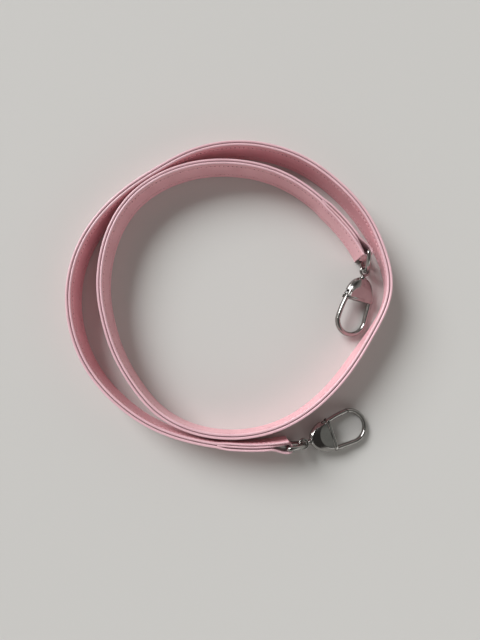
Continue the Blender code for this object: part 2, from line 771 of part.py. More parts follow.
def build():
    clear_scene()
    leather = material("pink_leather", (0.80, 0.45, 0.52), 0.45, 0)
    board = material("core_board", (0.55, 0.42, 0.42), 0.9, 0)
    metal = material("gunmetal", (0.16, 0.16, 0.15), 0.2, 1)
    steel = material("spring_steel", (0.45, 0.45, 0.45), 0.3, 1)
    finish(outer_layer(), None, leather)
    finish(inner_layer(), None, leather)
    finish(core(), None, board)
    for end, lie in lies().items():
        ring_place, bow_place, hook = hook_places(*lie, bar_middle(end == "b"))
        bar_frame = frame(f"ring_{end}_axis", None, ring_place)
        bow_frame = frame(f"bow_{end}_axis", bar_frame, bow_place)
        hook_frame = frame(f"swivel_{end}_axis", bow_frame, hook)
        gate_frame = frame(f"gate_{end}_axis", hook_frame, gate_place())
        finish(ring(f"d_ring_{end}"), bar_frame, metal)
        finish(eye(f"swivel_eye_{end}"), hook_frame, metal)
        finish(hook_body(f"hook_body_{end}"), hook_frame, metal)
        finish(gate(f"hook_gate_{end}"), gate_frame, metal)
        finish(pin(f"gate_pin_{end}"), gate_frame, steel)
        finish(spring(f"gate_spring_{end}"), gate_frame, steel)
    bpy.context.view_layer.update()
    print("Least gap between the turns, in millimetres:", round(least_turn_gap() * 1000, 2))


build()
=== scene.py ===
"""Looks of a coiled leather bag strap: sewn leather, gunmetal snap hooks, floor, light and camera."""

import json
import math

import bmesh
import bpy
import numpy as np
from mathutils import Matrix, Vector


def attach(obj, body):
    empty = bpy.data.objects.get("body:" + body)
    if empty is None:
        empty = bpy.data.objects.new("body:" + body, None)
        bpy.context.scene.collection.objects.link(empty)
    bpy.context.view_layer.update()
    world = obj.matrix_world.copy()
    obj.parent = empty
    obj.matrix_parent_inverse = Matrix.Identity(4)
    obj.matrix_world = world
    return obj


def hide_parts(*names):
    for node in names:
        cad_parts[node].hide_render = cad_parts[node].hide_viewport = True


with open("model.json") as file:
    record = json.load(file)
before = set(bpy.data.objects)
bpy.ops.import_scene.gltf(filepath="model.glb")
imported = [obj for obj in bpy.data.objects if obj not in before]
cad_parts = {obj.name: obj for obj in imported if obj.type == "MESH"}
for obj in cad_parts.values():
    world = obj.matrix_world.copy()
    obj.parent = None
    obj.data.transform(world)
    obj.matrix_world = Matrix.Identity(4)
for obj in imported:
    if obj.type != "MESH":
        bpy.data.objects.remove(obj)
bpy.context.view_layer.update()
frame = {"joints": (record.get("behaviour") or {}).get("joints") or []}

MM = 0.001

# Strap, as the solids have it
STRAP_WIDTH = 0.020
LAYER_THICKNESS = 0.00115
CORE_THICKNESS = 0.00035
LAYER_GAP = 0.00025
NECK_CLEARANCE = 0.0005
TAB_LENGTH = 0.033
TAB_GAP = 0.00045
TAPER_LENGTH = 0.012
FLARE_LENGTH = 0.010
RISE_LENGTH = 0.008
BAR_SETBACK = 0.0008
BAR_CLEARANCE = 0.0006
COIL_RADIUS = 0.090
COIL_CENTRE_X = -0.0022
COIL_CENTRE_Y = 0.0014
TURN_CLEARANCE = 0.0005
KNOT_STEP = 15
FIRST_KNOT = 300
OUTER_END = 291.5
INNER_END = 15.4
LEAN = 11
LEAN_MIDDLE = 299
LEAN_HALF_SPAN = 34
RING_WIRE = 0.0026
RING_HEIGHT = 0.0196
RING_CORNER = 0.0015
OUTER_TURN_SHARES = (
    1.044, 0.989, 0.953, 0.944, 0.954, 0.967, 0.987, 0.998,
    0.999, 0.984, 0.953, 0.921, 0.908, 0.932, 0.957, 0.973,
    0.982, 0.986, 0.999, 1.006, 1.003, 0.936, 0.897, 0.887,
)
TURN_GAP_SHARES = (
    0.111, 0.051, 0.018, 0.017, 0.049, 0.102, 0.146, 0.166,
    0.154, 0.119, 0.062, 0.013, 0.005, 0.043, 0.081, 0.102,
    0.113, 0.115, 0.103, 0.069, 0.037,
)
STRAP_THICKNESS = 2 * (LAYER_THICKNESS + LAYER_GAP) + CORE_THICKNESS
BODY_OFFSET = (STRAP_THICKNESS - LAYER_THICKNESS) / 2
LAP_OFFSET = LAYER_THICKNESS + TAB_GAP
LOOP_RADIUS = RING_WIRE / 2 + BAR_CLEARANCE + LAYER_THICKNESS / 2
BOW_RADIUS = (RING_HEIGHT - RING_WIRE) / 2
NECK_WIDTH = RING_HEIGHT - 2 * RING_WIRE - 2 * NECK_CLEARANCE

# Leather and sewing
LAYER_SWELL = 0.00022
SKIVED_TO = TAB_LENGTH + 0.8 * RISE_LENGTH
SKIVE_GAP = 0.00004
TAB_SHIFT = 0.0001
TAB_STEP = 0.0011
GLUE_GAP = 0.00004
CORE_START = SKIVED_TO + 0.0003
CORE_SETBACK = 0.00055
CORE_STEP = 0.0018
CORE_SECTION = (
    (1, 0.97), (0.6, 1), (-0.6, 1), (-1, 0.97), (-1, -0.97), (-0.6, -1), (0.6, -1), (1, -0.97),
)
STITCH_PITCH = 0.0026
STITCH_HEIGHT = 0.0061
STITCH_START = 0.0072
SECTION_STEP = STITCH_PITCH / 6
CHANNEL_DEPTH = 0.00014
CHANNEL_WIDTH = 0.00055
HOLE_DEPTH = 0.00030
HOLE_WIDTH = 0.00042
HOLE_STRETCH = 1.5
THREAD_RADIUS = 0.00019
THREAD_RISE = 0.55
THREAD_SINK = 1.5
THREAD_SIDES = 8
STITCH_SLANT = 0.00024
# A stitch from hole to hole: share of the pitch, how far it sinks, its thickness
STITCH_FORM = (
    (0.18, 1.0, 0.55), (0.23, 0.35, 0.85), (0.33, 0.05, 1.0), (0.5, 0.0, 1.0),
    (0.67, 0.05, 1.0), (0.77, 0.35, 0.85), (0.82, 1.0, 0.55),
)
EDGE_ROUND = 0.00052
EDGE_TURNS = (0, 18, 36, 54, 72, 90)
# Heights of a layer's points: plain leather, either side of the sewing, and below its edge
PLAIN_HEIGHTS = (0.0015, 0.0035, 0.0048)
FROM_SEWING = (0.0011, 0.0007, 0.0004, 0.0002, 0)
BELOW_EDGE = (0.0018, 0.0010)
FULL_HALF_WIDTH = STRAP_WIDTH / 2 - 0.0001

# Hook, in millimetres in its own frame
EYE_HOLE = 3.8
EYE_WIRE = 1.4
COLLAR_RADIUS = 1.5
POST_RADIUS = 0.95
POST_HEAD_RADIUS = 2.0
POST_HEAD_THICKNESS = 1.1
POST_LENGTH = 5.3
FIT_GAP = 0.3
HOOK_LENGTH = 35.8
DOME_LENGTH = 12.8
DOME_HALF_WIDTH = 9.2
DOME_HALF_HEIGHT = 3.4
FLANGE_THICKNESS = 1.4
FLANGE_PROUD = 0.3
FLANGE_ROUND = 0.44
FLANGE_SQUARENESS = 0.5
FIXED_REACH = 9.8
GATE_REACH = 11.1
BAR_WIDTH = 2.8
BAR_HEIGHT = 3.6
CAVITY_WALL = 0.9
NOSE_ANGLE = 83
NOSE_SLANT = 15
JOINT_GAP = 0.45
GATE_WIDTH = 2.7
GATE_HEIGHT = 3.4
KNUCKLE_HEIGHT = 3.7
GATE_BULGE = 0.6
GATE_EAR = 0.65
KNUCKLE_RADIUS = 1.7
PIN_RADIUS = 0.7
PIN_FROM_FLANGE = 3.0
PIN_FROM_SIDE = 2.4
SLOT_WALL = 1.1
CUT_PAST = 2
SPRING_WIRE = 0.4
SPRING_PITCH = 0.62
SPRING_HALF_TURNS = 5
SPRING_STEP_DEGREES = 10
SPRING_LEG = 2.2
HIDDEN_LEG_STEPS = 5
HIDDEN_LEG_SCALE = 0.9
EYE_RADIUS = (EYE_HOLE + EYE_WIRE) / 2
APEX_X = EYE_RADIUS + EYE_WIRE / 2 + 2 * FIT_GAP
FLANGE_X = APEX_X + DOME_LENGTH
THROAT_X = FLANGE_X + FLANGE_THICKNESS
LOOP_ARC_RADIUS = (FIXED_REACH + GATE_REACH - BAR_WIDTH) / 2
LOOP_CENTRE_X = APEX_X + HOOK_LENGTH - BAR_WIDTH / 2 - LOOP_ARC_RADIUS
LOOP_CENTRE_Y = (GATE_REACH - FIXED_REACH) / 2
PIN_X = THROAT_X - PIN_FROM_FLANGE
PIN_Y = DOME_HALF_WIDTH - PIN_FROM_SIDE
SLOT_HALF_HEIGHT = KNUCKLE_HEIGHT / 2 + FIT_GAP
# Dome from its rim to its facet: length, width and height shares
DOME_LEVELS = (
    (1.000, 1.000, 0.00), (0.999, 0.999, 0.12), (0.996, 0.994, 0.25), (0.986, 0.981, 0.36),
    (0.966, 0.954, 0.425), (0.946, 0.927, 0.485), (0.926, 0.900, 0.545), (0.908, 0.877, 0.600),
    (0.892, 0.862, 0.635), (0.872, 0.852, 0.662), (0.720, 0.840, 0.815), (0.600, 0.832, 0.940),
    (0.575, 0.829, 0.968), (0.560, 0.825, 0.984), (0.540, 0.817, 0.996), (0.500, 0.800, 1.000),
    (0.360, 0.720, 1.000), (0.240, 0.550, 1.000), (0.120, 0.300, 1.000), (0.020, 0.050, 1.000),
)
DOME_CROWN = 0.36


def new_material(name, colour, roughness, metallic=0.0):
    made = bpy.data.materials.new(name)
    made.use_nodes = True
    shader = made.node_tree.nodes["Principled BSDF"]
    shader.inputs["Base Color"].default_value = (*colour, 1)
    shader.inputs["Roughness"].default_value = roughness
    shader.inputs["Metallic"].default_value = metallic
    return made, made.node_tree, shader


def node(tree, kind, **values):
    """A node with its properties and inputs set. An input's spaces are given as underscores."""
    made = tree.nodes.new(kind)
    for key, value in values.items():
        if hasattr(made, key):
            setattr(made, key, value)
        else:
            made.inputs[key.replace("_", " ")].default_value = value
    return made


def mixed(tree, factor, low, high):
    """A colour between two, by a factor socket."""
    mix = node(tree, "ShaderNodeMix", data_type="RGBA")
    tree.links.new(factor, mix.inputs[0])
    for socket, colour in ((mix.inputs[6], low), (mix.inputs[7], high)):
        if isinstance(colour, tuple):
            socket.default_value = (*colour, 1)
        else:
            tree.links.new(colour, socket)
    return mix.outputs[2]


def remapped(tree, value, from_low, from_high, to_low, to_high):
    made = node(tree, "ShaderNodeMapRange")
    tree.links.new(value, made.inputs[0])
    for i, number in enumerate((from_low, from_high, to_low, to_high)):
        made.inputs[i + 1].default_value = number
    return made.outputs[0]


def worked(tree, operation, *values):
    """One step of arithmetic on sockets and numbers."""
    made = node(tree, "ShaderNodeMath", operation=operation)
    for i, value in enumerate(values):
        if isinstance(value, (int, float)):
            made.inputs[i].default_value = value
        else:
            tree.links.new(value, made.inputs[i])
    return made.outputs[0]


def textures(tree, *kinds):
    """Texture nodes that read the place on the object, from pairs of kind and values."""
    place = node(tree, "ShaderNodeTexCoord").outputs["Object"]
    made = [node(tree, kind, **values) for kind, values in kinds]
    for texture in made:
        tree.links.new(place, texture.inputs["Vector"])
    return made


def bumped(tree, shader, height, strength, distance):
    bump = node(tree, "ShaderNodeBump", Strength=strength, Distance=distance)
    tree.links.new(height, bump.inputs["Height"])
    tree.links.new(bump.outputs["Normal"], shader.inputs["Normal"])


def painted_hole_shade(tree):
    """Painted shade of the sewing holes: a row of uneven dark dots along both long edges, fainter in
    the lower row.
    """
    run = node(tree, "ShaderNodeUVMap", uv_map="run").outputs[0]
    split = node(tree, "ShaderNodeSeparateXYZ")
    tree.links.new(run, split.inputs[0])
    phase = worked(tree, "SUBTRACT", split.outputs[0], STITCH_START / STITCH_PITCH)
    number = worked(tree, "ROUND", phase)
    chance = node(tree, "ShaderNodeTexWhiteNoise", noise_dimensions="1D")
    tree.links.new(number, chance.inputs["W"])
    along = worked(tree, "SUBTRACT", phase, number)
    along = worked(tree, "MULTIPLY", along, STITCH_PITCH / HOLE_WIDTH)
    height = worked(tree, "ABSOLUTE", split.outputs[1])
    off = worked(tree, "SUBTRACT", height, STITCH_HEIGHT / STITCH_PITCH)
    off = worked(tree, "MULTIPLY", off, STITCH_PITCH / HOLE_WIDTH / HOLE_STRETCH)
    squares = worked(tree, "MULTIPLY_ADD", off, off, worked(tree, "MULTIPLY", along, along))
    dot = remapped(tree, squares, 0.4, 1.3, 1, 0)
    shade_strength = remapped(tree, chance.outputs[0], 0, 1, 0.3, 1)
    shown = remapped(tree, split.outputs[1], -1, 1, 0.4, 1)
    return worked(tree, "MULTIPLY", worked(tree, "MULTIPLY", dot, shade_strength), shown)


def leather_material(name, colour, worn, roughness, grain=0.16, coat=0.0, holes=False):
    """Fine-grained leather with cloudy colour, uneven gloss and, on the grain side, painted shade in
    the needle holes.
    """
    made, tree, shader = new_material(name, colour, roughness)
    cloud, fine, cells = textures(
        tree,
        ("ShaderNodeTexNoise", {"Scale": 90.0, "Detail": 3.0}),
        ("ShaderNodeTexNoise", {"Scale": 2600.0, "Detail": 4.0, "Roughness": 0.65}),
        ("ShaderNodeTexVoronoi", {"Scale": 1900.0, "feature": "DISTANCE_TO_EDGE"}),
    )
    shade = mixed(tree, remapped(tree, cloud.outputs["Fac"], 0.35, 0.68, 0, 1), colour, worn)
    if holes:
        # Painted shade: the needle holes are darkened in the base colour.
        shade = mixed(tree, painted_hole_shade(tree), shade, HOLE_SHADE_COLOUR)
    tree.links.new(shade, shader.inputs["Base Color"])
    tree.links.new(
        remapped(tree, fine.outputs["Fac"], 0.3, 0.7, roughness - 0.06, roughness + 0.08),
        shader.inputs["Roughness"],
    )
    creases = remapped(tree, cells.outputs["Distance"], 0, 0.12, 0, 1)
    height = worked(tree, "MULTIPLY_ADD", fine.outputs["Fac"], 0.6, creases)
    bumped(tree, shader, height, grain, 0.00012)
    shader.inputs["Sheen Weight"].default_value = 0.10
    shader.inputs["Sheen Roughness"].default_value = 0.4
    shader.inputs["Coat Weight"].default_value = coat
    shader.inputs["Coat Roughness"].default_value = 0.3
    return made


def thread_material(name, colour):
    """Twisted sewing thread."""
    made, tree, shader = new_material(name, colour, 0.55)
    twist, = textures(tree, ("ShaderNodeTexNoise", {"Scale": 5200.0, "Detail": 2.0}))
    bumped(tree, shader, twist.outputs["Fac"], 0.4, 0.00006)
    tree.links.new(
        mixed(tree, twist.outputs["Fac"], colour, tuple(0.8 * c for c in colour)),
        shader.inputs["Base Color"],
    )
    shader.inputs["Sheen Weight"].default_value = 0.2
    return made


def metal_material(name, colour, roughness):
    """Plated metal: cloudy plating, faint casting waves and fine handling marks."""
    made, tree, shader = new_material(name, colour, roughness, 1.0)
    cloud, fine = textures(
        tree,
        ("ShaderNodeTexNoise", {"Scale": 260.0, "Detail": 2.0}),
        ("ShaderNodeTexNoise", {"Scale": 1500.0, "Detail": 5.0, "Roughness": 0.7}),
    )
    dull, bright = (tuple(share * c for c in colour) for share in (0.86, 1.14))
    tree.links.new(mixed(tree, cloud.outputs["Fac"], dull, bright), shader.inputs["Base Color"])
    tree.links.new(
        remapped(tree, fine.outputs["Fac"], 0.4, 0.75, roughness, roughness + 0.09),
        shader.inputs["Roughness"],
    )
    bumped(tree, shader, cloud.outputs["Fac"], 0.05, 0.0004)
    return made


# Painted shade: the dark colour put into the needle holes in place of their shadow.
HOLE_SHADE_COLOUR = (0.20, 0.06, 0.07)
# The grain side carries painted shade in its needle holes.
LEATHER = leather_material(
    "pink_leather", (0.81, 0.44, 0.48), (0.75, 0.385, 0.425), 0.46, coat=0.12, holes=True,
)
FLESH = leather_material("leather_flesh_side", (0.62, 0.34, 0.37), (0.55, 0.30, 0.33), 0.8, 0.3)
EDGE = leather_material("painted_edge", (0.75, 0.48, 0.52), (0.71, 0.44, 0.48), 0.34, 0.05, 0.5)
# Painted shade: the core's dark colour stands in for the shade in the groove between the two layers.
GROOVE_SHADE = leather_material("edge_groove_shade", (0.26, 0.12, 0.14), (0.22, 0.10, 0.12), 0.7, 0.2)
THREAD = thread_material("pink_thread", (0.80, 0.50, 0.53))
METAL = metal_material("gunmetal", (0.31, 0.30, 0.285), 0.12)
STEEL = metal_material("spring_steel", (0.42, 0.42, 0.41), 0.24)


# Mesh making


def mesh_object(name, points, faces, materials, marks=None, scale=1.0):
    mesh = bpy.data.meshes.new(name)
    mesh.from_pydata([tuple(float(c) * scale for c in p) for p in points], [], faces)
    for item in materials:
        mesh.materials.append(item)
    if marks is not None:
        mesh.polygons.foreach_set("material_index", np.array(marks, dtype=np.int32))
    made = bpy.data.objects.new(name, mesh)
    bpy.context.scene.collection.objects.link(made)
    work = bmesh.new()
    work.from_mesh(mesh)
    bmesh.ops.recalc_face_normals(work, faces=work.faces)
    work.to_mesh(mesh)
    work.free()
    mesh.shade_smooth()
    return made


def loft(rings, closed=False):
    count = len(rings[0])
    points = [p for ring in rings for p in ring]
    faces = []
    spans = len(rings) if closed else len(rings) - 1
    for i in range(spans):
        here, there = i * count, (i + 1) % len(rings) * count
        for j in range(count):
            k = (j + 1) % count
            faces.append((here + j, here + k, there + k, there + j))
    if not closed:
        faces.append(tuple(range(count))[::-1])
        faces.append(tuple(range(len(points) - count, len(points))))
    return points, faces


def ellipse(half_across, half_up, sides):
    turns = [2 * math.pi * i / sides for i in range(sides)]
    return [(half_across * math.cos(a), half_up * math.sin(a)) for a in turns]


def swept(path, section, up=None, closed=False, scales=None):
    """Points and faces of a bar along a path, its section's first axis across and second along up."""
    path = [Vector(p) for p in path]
    count = len(path)
    rings = []
    carried = Vector(up) if up else None
    for i, point in enumerate(path):
        before = path[(i - 1) % count] if closed or i else point
        after = path[(i + 1) % count] if closed or i < count - 1 else point
        along = (after - before).normalized()
        if carried is None:
            carried = along.orthogonal()
        high = (carried - along * carried.dot(along)).normalized()
        across = high.cross(along)
        if up is None:
            carried = high
        size = scales[i] if scales else 1
        rings.append([point + (across * a + high * h) * size for a, h in section])
    return loft(rings, closed)


def bar(name, path, section, materials, up=None, closed=False, scales=None, scale=MM):
    points, faces = swept(path, section, up, closed, scales)
    return mesh_object(name, points, faces, materials, scale=scale)


def turned(name, profile, materials, sides=48):
    """A body turned round the X axis from (x, radius) points in millimetres."""
    rings = [[(x, r * c, r * s) for c, s in ellipse(1, 1, sides)] for x, r in profile]
    points, faces = loft(rings)
    return mesh_object(name, points, faces, materials, scale=MM)


def rod(name, start, end, radius, materials=(), sides=40):
    start, end = Vector(start), Vector(end)
    side = (end - start).orthogonal()
    return bar(name, [start, end], ellipse(radius, radius, sides), materials, side)


def block(name, low, high):
    xs, ys, zs = zip(low, high)
    corners = [(x, y, z) for z in zs for y in ys for x in xs]
    faces = [(0, 2, 3, 1), (4, 5, 7, 6), (0, 1, 5, 4), (2, 6, 7, 3), (0, 4, 6, 2), (1, 3, 7, 5)]
    return mesh_object(name, corners, faces, (), scale=MM)


def applied(item):
    graph = bpy.context.evaluated_depsgraph_get()
    graph.update()
    made = bpy.data.meshes.new_from_object(item.evaluated_get(graph))
    item.modifiers.clear()
    item.data = made
    return item


def cut(item, tool, operation="DIFFERENCE"):
    step = item.modifiers.new("cut", "BOOLEAN")
    step.operation = operation
    step.solver = "EXACT"
    step.object = tool
    applied(item)
    bpy.data.objects.remove(tool, do_unlink=True)
    return item


def joined(name, items):
    """One object from several, their shells left as they are."""
    work = bmesh.new()
    for item in items:
        work.from_mesh(item.data)
    mesh = bpy.data.meshes.new(name)
    work.to_mesh(mesh)
    work.free()
    for made in items[0].data.materials:
        mesh.materials.append(made)
    for item in items:
        bpy.data.objects.remove(item, do_unlink=True)
    made = bpy.data.objects.new(name, mesh)
    bpy.context.scene.collection.objects.link(made)
    return made


def cast(item, voxel, rounds):
    """One closed skin with soft fillets, as metal leaves a mould and a polishing wheel."""
    step = item.modifiers.new("skin", "REMESH")
    step.mode = "VOXEL"
    step.voxel_size = voxel * MM
    step.adaptivity = 0
    applied(item)
    if rounds:
        step = item.modifiers.new("polish", "SMOOTH")
        step.factor = 0.5
        step.iterations = rounds
        applied(item)
    item.data.shade_smooth()
    return item


def put(item, matrix, body, slot, *nodes):
    """Sets a piece in place and says what it rides on and what it stands for; its finish, the slot
    argument, is not used.
    """
    item.data.transform(matrix)
    item.data.update()
    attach(item, body)
    if nodes:
        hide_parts(*nodes)
    return item


# Strap route


def ease(share):
    share = min(max(share, 0), 1)
    return share * share * (3 - 2 * share)


def knot_radii():
    outer = [COIL_RADIUS * share for share in OUTER_TURN_SHARES]
    step = STRAP_THICKNESS + TURN_CLEARANCE
    return outer + [r - step - COIL_RADIUS * gap for r, gap in zip(outer, TURN_GAP_SHARES)]


def spline_slopes(values):
    count = len(values)
    system = np.zeros((count, count))
    right = np.zeros(count)
    for i in range(count):
        before, after = max(i - 1, 0), min(i + 1, count - 1)
        system[i, before] += 1
        system[i, after] += 1
        system[i, i] += 4 if 0 < i < count - 1 else 1
        right[i] = 3 * (values[after] - values[before])
    return np.linalg.solve(system, right)


KNOTS = knot_radii()
SLOPES = spline_slopes(KNOTS)


def radius_at(turned_degrees):
    place = turned_degrees / KNOT_STEP
    i = min(int(place), len(KNOTS) - 2)
    t = place - i
    start, end = KNOTS[i], KNOTS[i + 1]
    bend = (2 * t**3 - 3 * t**2 + 1) * start + (3 * t**2 - 2 * t**3) * end
    return bend + (t**3 - 2 * t**2 + t) * SLOPES[i] + (t**3 - t**2) * SLOPES[i + 1]


def route_point(turned_degrees):
    angle = math.radians(FIRST_KNOT - turned_degrees)
    radius = radius_at(turned_degrees)
    x = radius * math.cos(angle) + COIL_CENTRE_X
    y = radius * math.sin(angle) + COIL_CENTRE_Y
    return Vector((x, y, 0))


FIRST_DEGREES = FIRST_KNOT - OUTER_END
LAST_DEGREES = FIRST_KNOT + 360 - INNER_END
ROUTE_DEGREES = np.linspace(FIRST_DEGREES, LAST_DEGREES, round(LAST_DEGREES - FIRST_DEGREES) + 1)
ROUTE = [route_point(a) for a in ROUTE_DEGREES]
ROUTE_LENGTHS = np.concatenate(([0], np.cumsum([(b - a).length for a, b in zip(ROUTE, ROUTE[1:])])))
STRAP_LENGTH = float(ROUTE_LENGTHS[-1])


def to_end(distance):
    """How far a distance along the strap is from the nearer end."""
    return min(distance, STRAP_LENGTH - distance)


def outward(along):
    """The level direction out of the coil, square to the strap."""
    return Vector((-along.y, along.x, 0))


def on_route(distance):
    """The middle plane's point and direction at a distance from the outer end."""
    turned_degrees = float(np.interp(distance, ROUTE_LENGTHS, ROUTE_DEGREES))
    along = (route_point(turned_degrees + 0.2) - route_point(turned_degrees - 0.2)).normalized()
    return route_point(turned_degrees), along


def offset_point(distance, out):
    point, along = on_route(distance)
    return point + outward(along) * out


def lapped(distance):
    """1 where the tab lies between the layers, 0 where they are sewn close."""
    return ease((TAB_LENGTH + RISE_LENGTH - to_end(distance)) / RISE_LENGTH)


def layer_offset(distance):
    return BODY_OFFSET + (LAP_OFFSET - BODY_OFFSET) * lapped(distance)


def layer_skin(distance):
    """A layer's two faces from its middle: it swells into the seam, but not beside the tab."""
    return LAYER_THICKNESS / 2, -LAYER_THICKNESS / 2 - LAYER_SWELL * (1 - lapped(distance))


def outer_offset(distance):
    to_bar = to_end(distance) - BAR_SETBACK
    rest = layer_offset(distance)
    return rest + (2 * LOOP_RADIUS - rest) * ease(1 - to_bar / FLARE_LENGTH)


def outer_width(distance):
    to_bar = to_end(distance) - BAR_SETBACK
    return STRAP_WIDTH + (NECK_WIDTH - STRAP_WIDTH) * ease(1 - to_bar / TAPER_LENGTH)


def lean_at(distance):
    turned_degrees = float(np.interp(distance, ROUTE_LENGTHS, ROUTE_DEGREES))
    return math.radians(LEAN) * ease(1 - abs(turned_degrees - LEAN_MIDDLE) / LEAN_HALF_SPAN)


def leaned(out, rise, lean):
    """How far out of the route and how high a point of the leaning strap is."""
    sine, cosine = math.sin(lean), math.cos(lean)
    across = out * cosine + (STRAP_WIDTH - rise) * sine
    return across, rise * cosine + (out + STRAP_THICKNESS / 2) * sine


def bar_centre(at_outer_end):
    distance = BAR_SETBACK if at_outer_end else STRAP_LENGTH - BAR_SETBACK
    return offset_point(distance, LOOP_RADIUS)


def loop_points(at_outer_end, sides=24):
    distance = BAR_SETBACK if at_outer_end else STRAP_LENGTH - BAR_SETBACK
    along = on_route(distance)[1]
    beyond = -along if at_outer_end else along
    out = outward(along)
    middle = bar_centre(at_outer_end)
    angles = [math.pi * i / sides for i in range(1, sides)]
    return [middle + (out * math.cos(a) + beyond * math.sin(a)) * LOOP_RADIUS for a in angles]


# Leather


def sewn(distance):
    """1 along the stitches, 0 before the first one at either end."""
    return ease((to_end(distance) - STITCH_START + 2 * SECTION_STEP) / (2 * SECTION_STEP))


def surface_dip(distance, height):
    """Depth of the sewn channel and its needle holes at a height from the strap's middle."""
    off = (abs(height) - STITCH_HEIGHT) / CHANNEL_WIDTH
    channel = CHANNEL_DEPTH * math.exp(-off * off)
    phase = (distance - STITCH_START) / STITCH_PITCH
    to_hole = abs(phase - round(phase)) * STITCH_PITCH / HOLE_WIDTH
    off = (abs(height) - STITCH_HEIGHT) / HOLE_WIDTH
    return (channel + HOLE_DEPTH * math.exp(-off * off - to_hole * to_hole)) * sewn(distance)


def face_heights(half):
    """Heights of a section's points across a face, closer together along the sewing."""
    row = [STITCH_HEIGHT - n for n in FROM_SEWING]
    row += [STITCH_HEIGHT + n for n in FROM_SEWING[-2::-1]]
    side = [*PLAIN_HEIGHTS, *row, *(STRAP_WIDTH / 2 - n for n in BELOW_EDGE)]
    if half < FULL_HALF_WIDTH:
        side = [h * (half - EDGE_ROUND) / (STRAP_WIDTH / 2 - EDGE_ROUND) for h in side]
    return [-h for h in side[::-1]] + [0] + side


def layer_section(half, dip, grain, flesh):
    """A layer's section as (out, height, is edge): up the grain face and down the flesh side."""
    soft = min(EDGE_ROUND, 0.48 * (grain - flesh))
    front, back = [], []
    for a in (math.radians(degrees) for degrees in EDGE_TURNS):
        to_side, to_top = soft * (1 - math.cos(a)), soft * (1 - math.sin(a))
        front.append((grain - to_side, half - to_top, a > 0))
        back.append((flesh + to_top, half - to_side, True))
    over = front + back
    under = [(out, -height, edge) for out, height, edge in over[::-1]]
    rows = [(grain - dip(h), h, False) for h in face_heights(half)]
    return under[len(back):] + rows + over + [(flesh, 0, False)] + under[:len(back)]


def material_marks(section, spans):
    """Which material each face of a lofted layer has: 0 grain, 1 edge or 2 flesh."""
    marks = []
    for (out, _, edge), (next_out, _, next_edge) in zip(section, section[1:] + section[:1]):
        marks.append(1 if edge or next_edge else 2 if out < 0 and next_out < 0 else 0)
    return marks * spans + [1, 1]


def map_run(made, distances, heights):
    """The map that the painted shade of the needle holes follows: length and height in stitches,
    nothing where unsewn.
    """
    grid = []
    for distance in distances:
        for height in heights:
            sewn_at = distance is not None
            grid.append((distance / STITCH_PITCH, height / STITCH_PITCH) if sewn_at else (0.0, 0.0))
    run_map = made.data.uv_layers.new(name="run")
    for corner in made.data.loops:
        run_map.data[corner.index].uv = grid[corner.vertex_index]


def layer_mesh(name, line, distances, widths, offsets, leans, skins, sign):
    """A leather layer along a line in the floor plane.

    Distances say where the needle holes are, None where there are none. Sign is +1 if the layer's
    grain faces out of the coil.
    """
    rings = []
    count = len(line)
    for i, point in enumerate(line):
        across = outward((line[min(i + 1, count - 1)] - line[max(i - 1, 0)]).normalized())
        distance = distances[i]
        dip = (lambda h, d=distance: surface_dip(d, h)) if distance is not None else (lambda h: 0)
        section = layer_section(widths[i] / 2, dip, *skins[i])
        ring = []
        for out, height, _ in section:
            x, z = leaned(offsets[i] + sign * out, STRAP_WIDTH / 2 + height, leans[i])
            ring.append(point + across * (x - offsets[i]) + Vector((0, 0, z)))
        rings.append(ring)
    points, faces = loft(rings)
    marks = material_marks(section, count - 1)
    made = mesh_object(name, points, faces, (LEATHER, EDGE, FLESH), marks)
    map_run(made, distances, [part[1] for part in section])
    return made


def stations(start, end, step):
    return list(np.linspace(start, end, max(2, math.ceil((end - start) / step) + 1)))


def sewn_stations(start, end):
    """Stations from start to end that meet every needle hole."""
    first = math.ceil((start - STITCH_START) / SECTION_STEP + 0.25)
    last = math.floor((end - STITCH_START) / SECTION_STEP - 0.25)
    inside = [STITCH_START + i * SECTION_STEP for i in range(first, last + 1)]
    return [start, *inside, end]


def tab_skin(distance):
    """The tab's two faces from its middle: against the inner layer, pared thin where they close."""
    room = layer_offset(distance) + layer_skin(distance)[1] - SKIVE_GAP
    pressed = ease((distance - BAR_SETBACK) / TAPER_LENGTH)
    inward = LAYER_THICKNESS / 2 + TAB_SHIFT * pressed
    outward = LAYER_THICKNESS / 2 - 2 * TAB_SHIFT * pressed
    return min(inward, room), -min(outward, room)


def outer_leather():
    first, last = BAR_SETBACK, STRAP_LENGTH - BAR_SETBACK
    run = sewn_stations(first, last)
    side = [offset_point(d, outer_offset(d)) for d in run]
    tab = stations(first, SKIVED_TO, TAB_STEP)
    tab_b = [offset_point(d, 0) for d in tab]
    tab_a = [offset_point(STRAP_LENGTH - d, 0) for d in tab]
    loop_b, loop_a = loop_points(True), loop_points(False)
    line = tab_b[::-1] + loop_b[::-1] + side + loop_a + tab_a
    level = [0] * (len(tab) + len(loop_a))
    unsewn = [None] * len(level)
    tab_widths = [outer_width(d) for d in tab]
    neck = [NECK_WIDTH] * len(loop_a)
    tab_skins = [tab_skin(d) for d in tab]
    neck_skins = [layer_skin(first)] * len(loop_a)
    return layer_mesh(
        "strap_outer_leather", line,
        unsewn + run + unsewn,
        tab_widths[::-1] + neck + [outer_width(d) for d in run] + neck + tab_widths,
        level + [outer_offset(d) for d in run] + level,
        level + [lean_at(d) for d in run] + level,
        tab_skins[::-1] + neck_skins + [layer_skin(d) for d in run] + neck_skins + tab_skins,
        1,
    )


def inner_leather():
    run = sewn_stations(0, STRAP_LENGTH)
    line = [offset_point(d, -layer_offset(d)) for d in run]
    return layer_mesh(
        "strap_inner_leather", line, run, [STRAP_WIDTH] * len(run), [-layer_offset(d) for d in run],
        [lean_at(d) for d in run], [layer_skin(d) for d in run], -1,
    )


